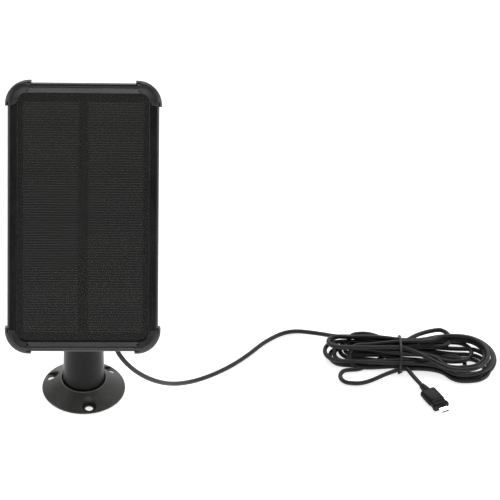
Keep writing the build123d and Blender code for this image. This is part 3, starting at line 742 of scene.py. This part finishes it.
# %% Plastics
finishes["cap_plastic"] = finish(
    "pebbled cap plastic", (0.006, 0.006, 0.0059), (0.009, 0.009, 0.0088), (0.42, 0.50), "pebble", 0.8, 0.03, 0.5,
    edge=1.2, bare=(0.05, 0.05, 0.05), worn=0.2, dust=0.02, level=0.6)
finishes["cover_plastic"] = finish(
    "spark textured plastic", (0.013, 0.013, 0.013), (0.017, 0.017, 0.017), (0.5, 0.62), "pebble", 0.45, 0.03, 0.6,
    edge=0.4, bare=(0.05, 0.05, 0.05), worn=0.3, dust=0.02)
finishes["grip_plastic"] = finish(
    "knob plastic", (0.012, 0.012, 0.0125), (0.017, 0.017, 0.017), (0.38, 0.5), "pebble", 0.35, 0.02, 0.5,
    edge=0.5, bare=(0.06, 0.06, 0.06), worn=0.4, dust=0.02)
finishes["cable_cover"] = finish(
    "soft cable jacket", (0.009, 0.009, 0.009), (0.014, 0.014, 0.0138), (0.42, 0.52), "grain", 0.6, 0.02, 0.5,
    edge=0.1, dust=0.03, patch=18.0, level=0.4)
finishes["black_rubber"] = finish(
    "matt rubber", (0.012, 0.012, 0.012), (0.018, 0.018, 0.0178), (0.6, 0.72), "grain", 0.4, 0.02, 0.5,
    edge=0.2, dust=0.02, patch=10.0)
finishes["tie_cord"] = finish(
    "tie cover", (0.010, 0.010, 0.010), (0.015, 0.015, 0.015), (0.42, 0.5), "grain", 0.3, 0.02, 0.5,
    edge=0.1, dust=0.02, patch=6.0)
finishes["plug_plastic"] = finish(
    "plug plastic", (0.003, 0.003, 0.0029), (0.0045, 0.0045, 0.0043), (0.38, 0.48), "pebble", 0.4, 0.02, 0.5,
    edge=0.3, bare=(0.05, 0.05, 0.05), worn=0.3, dust=0.0, patch=8.0, level=0.2)
finishes["nylon"] = finish(
    "washer nylon", (0.58, 0.57, 0.52), (0.66, 0.64, 0.58), (0.4, 0.5), "grain", 0.3, 0.01, 0.3,
    edge=0.1, dust=0.1, patch=6.0)
finishes["white_plastic"] = finish(
    "connector nylon", (0.74, 0.72, 0.65), (0.80, 0.78, 0.72), (0.38, 0.46), "grain", 0.3, 0.008, 0.3,
    edge=0.15, dust=0.0, patch=4.0)
finishes["wire_cover"] = finish(
    "red wire cover", (0.42, 0.02, 0.015), (0.5, 0.035, 0.025), (0.3, 0.4), "grain", 0.3, 0.006, 0.3,
    edge=0.1, dust=0.0, patch=4.0)
finishes["chip_plastic"] = finish(
    "moulded epoxy", (0.018, 0.018, 0.020), (0.026, 0.026, 0.028), (0.5, 0.6), "pebble", 0.12, 0.01, 0.6,
    edge=0.1, bare=(0.06, 0.06, 0.06), worn=0.3, dust=0.0, patch=3.0)
finishes["ferrite"] = finish(
    "sintered ferrite", (0.07, 0.07, 0.075), (0.10, 0.10, 0.105), (0.5, 0.65), "pebble", 0.2, 0.03, 0.6,
    edge=0.2, bare=(0.2, 0.2, 0.2), worn=0.5, dust=0.0, patch=3.0)
finishes["black_laminate"] = finish(
    "black board laminate", (0.0035, 0.0035, 0.0037), (0.005, 0.005, 0.0052), (0.36, 0.44), "grain", 0.8, 0.01, 0.3,
    edge=0.1, dust=0.0, patch=20.0, level=0.2)
print("finishes so far", len(finishes))

# %% [markdown]
# ## The solar cells
# Each cell is a wafer of nearly black silicon with fine silver fingers printed across it,
# nine to a row, and a plain margin at its ends. The fingers are a repeating line in the
# distance up the leaning panel. That distance is the object coordinate measured along the
# panel, so the pattern is level with the rows whatever way the panel leans.

# %% Cell print
ROW_PITCH = 15.85
FINGERS = 9
material, tree, surface, spot = new_material("silicon with printed fingers")
up = add(tree, "VectorMath", operation="DOT_PRODUCT", in_1=UP_PANEL)
join(tree, spot, up.inputs[0])
from_middle = math(tree, "SUBTRACT", up.outputs["Value"], (TILT_HEIGHT * cos(LEAN) + 45.0) * MM)
from_first = math(tree, "ADD", from_middle, 5 * ROW_PITCH * MM)
row_place = math(tree, "FRACT", math(tree, "DIVIDE", from_first, ROW_PITCH * MM), None)
finger_place = math(tree, "FRACT", math(tree, "MULTIPLY", row_place, FINGERS), None)
from_finger = math(tree, "ABSOLUTE", math(tree, "SUBTRACT", finger_place, 0.5), None)
finger = remap(tree, from_finger, 0.16, 0.12)
sides = add(tree, "SeparateXYZ")
join(tree, spot, sides.inputs[0])
from_band = math(tree, "ABSOLUTE", sides.outputs["X"], None)
printed = math(
    tree, "MULTIPLY", remap(tree, from_band, 0.0034, 0.0036), remap(tree, from_band, 0.0410, 0.0408))
finger = math(tree, "MULTIPLY", finger, printed)
patches = group_node(tree, patch_group, spot, Size=0.04)["Mask"]
wafer = blend_colour(tree, patches, (0.0028, 0.0028, 0.0029), (0.0038, 0.0037, 0.0036))
# Painted sheen: the wafer colour turns lighter and warmer towards the top of the panel.
painted_top_sheen = remap(tree, from_middle, 0.02, 0.085)
wafer = blend_colour(tree, painted_top_sheen, wafer, (0.0110, 0.0100, 0.0080))
grain = group_node(tree, grain_group, spot, Size=0.0003)
printed_tone = blend_colour(tree, grain["Specks"], (0.032, 0.032, 0.032), (0.040, 0.0395, 0.038))
join(tree, blend_colour(tree, finger, wafer, printed_tone), surface.inputs["Base Color"])
join(tree, remap(tree, finger, 0.0, 1.0, 0.36, 0.5), surface.inputs["Roughness"])
surface.inputs["Specular IOR Level"].default_value = 0.2
relief(tree, finger, None, surface, 0.02, 0.4)
finishes["silicon"] = material
print("cell print", FINGERS * 10, "fingers")

# %% [markdown]
# ## The clear film
# A clear matt film covers the cells. Seen straight on, it is hardly there. It shows by
# the light that its skin throws back, most at a low angle, and a film is far thinner than
# glass, so nothing behind it looks shifted. Its surface is a mix of clear and gloss by
# the Fresnel factor, and only its outer side is glossy.

# %% Film
material, tree, surface, spot = new_material("clear matt film")
tree.nodes.remove(surface)
clear = add(tree, "BsdfTransparent")
clear.inputs["Color"].default_value = (0.93, 0.93, 0.92, 1)
gloss = add(tree, "BsdfAnisotropic")
gloss.inputs["Color"].default_value = (0.85, 0.85, 0.83, 1)
gloss.inputs["Roughness"].default_value = 0.44
share = add(tree, "Fresnel", in_IOR=1.42)
facing = add(tree, "NewGeometry")
outside = math(tree, "SUBTRACT", 1.0, facing.outputs["Backfacing"])
pair = add(tree, "MixShader")
join(tree, math(tree, "MULTIPLY", share.outputs[0], outside), pair.inputs[0])
join(tree, clear.outputs[0], pair.inputs[1])
join(tree, gloss.outputs[0], pair.inputs[2])
join(tree, pair.outputs[0], tree.nodes["Material Output"].inputs["Surface"])
finishes["clear_sheet"] = material
print("film ready")

# %% [markdown]
# ## The circuit board
# The regulator's board is green lacquer over copper. The copper shows through as paler
# green tracks. The joints of a brick pattern give tracks that run and turn, and soft
# patches give the poured areas, without any lettering.

# %% Board
material, tree, surface, spot = new_material("green circuit board")
tracks = add(tree, "TexBrick", offset=0.5, in_Scale=210.0)
tracks.inputs["Mortar Size"].default_value = 0.06
tracks.inputs["Brick Width"].default_value = 0.9
tracks.inputs["Row Height"].default_value = 0.33
tracks.inputs["Color1"].default_value = (0, 0, 0, 1)
tracks.inputs["Color2"].default_value = (0.1, 0.1, 0.1, 1)
tracks.inputs["Mortar"].default_value = (1, 1, 1, 1)
join(tree, spot, tracks.inputs["Vector"])
poured = group_node(tree, patch_group, spot, Size=0.006)["Mask"]
copper = math(tree, "MAXIMUM", tracks.outputs["Color"], math(tree, "GREATER_THAN", poured, 0.72))
join(tree, blend_colour(tree, copper, (0.010, 0.085, 0.035), (0.025, 0.17, 0.06)), surface.inputs["Base Color"])
join(tree, remap(tree, copper, 0.0, 1.0, 0.32, 0.24), surface.inputs["Roughness"])
relief(tree, copper, None, surface, 0.03, 0.4)
finishes["circuit_board"] = material
print("finishes", len(finishes))

# %% [markdown]
# ## Dressing the model
# Every CAD piece is made of one slot of the record's materials, so the finish for each is
# looked up by that slot. The two level rails take the same finish with its lines turned.

# %% Dress every piece
slot_of = {part["node"]: part["material_slot"] for part in frame["record"]["subparts"]}
turned_finish = {"rail_top": rail_across, "rail_bottom": rail_across}
for name, piece in frame["nodes"].items():
    dress = turned_finish.get(name, finishes[slot_of[name]])
    if not piece.material_slots:
        piece.data.materials.append(dress)
    for place in piece.material_slots:
        place.material = dress
for piece in (cable, plug_boot, grip, tie):
    piece.data.materials.append(finishes[piece["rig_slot"]])
print("dressed", len(frame["nodes"]) + 4, "pieces")

# %% Measure, and finish
shown_low, shown_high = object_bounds()
sizes = {"cad": [list(cad_low), list(cad_high)], "visual": [list(shown_low), list(shown_high)]}
print("visual box", [round(value, 4) for value in (*shown_low, *shown_high)])
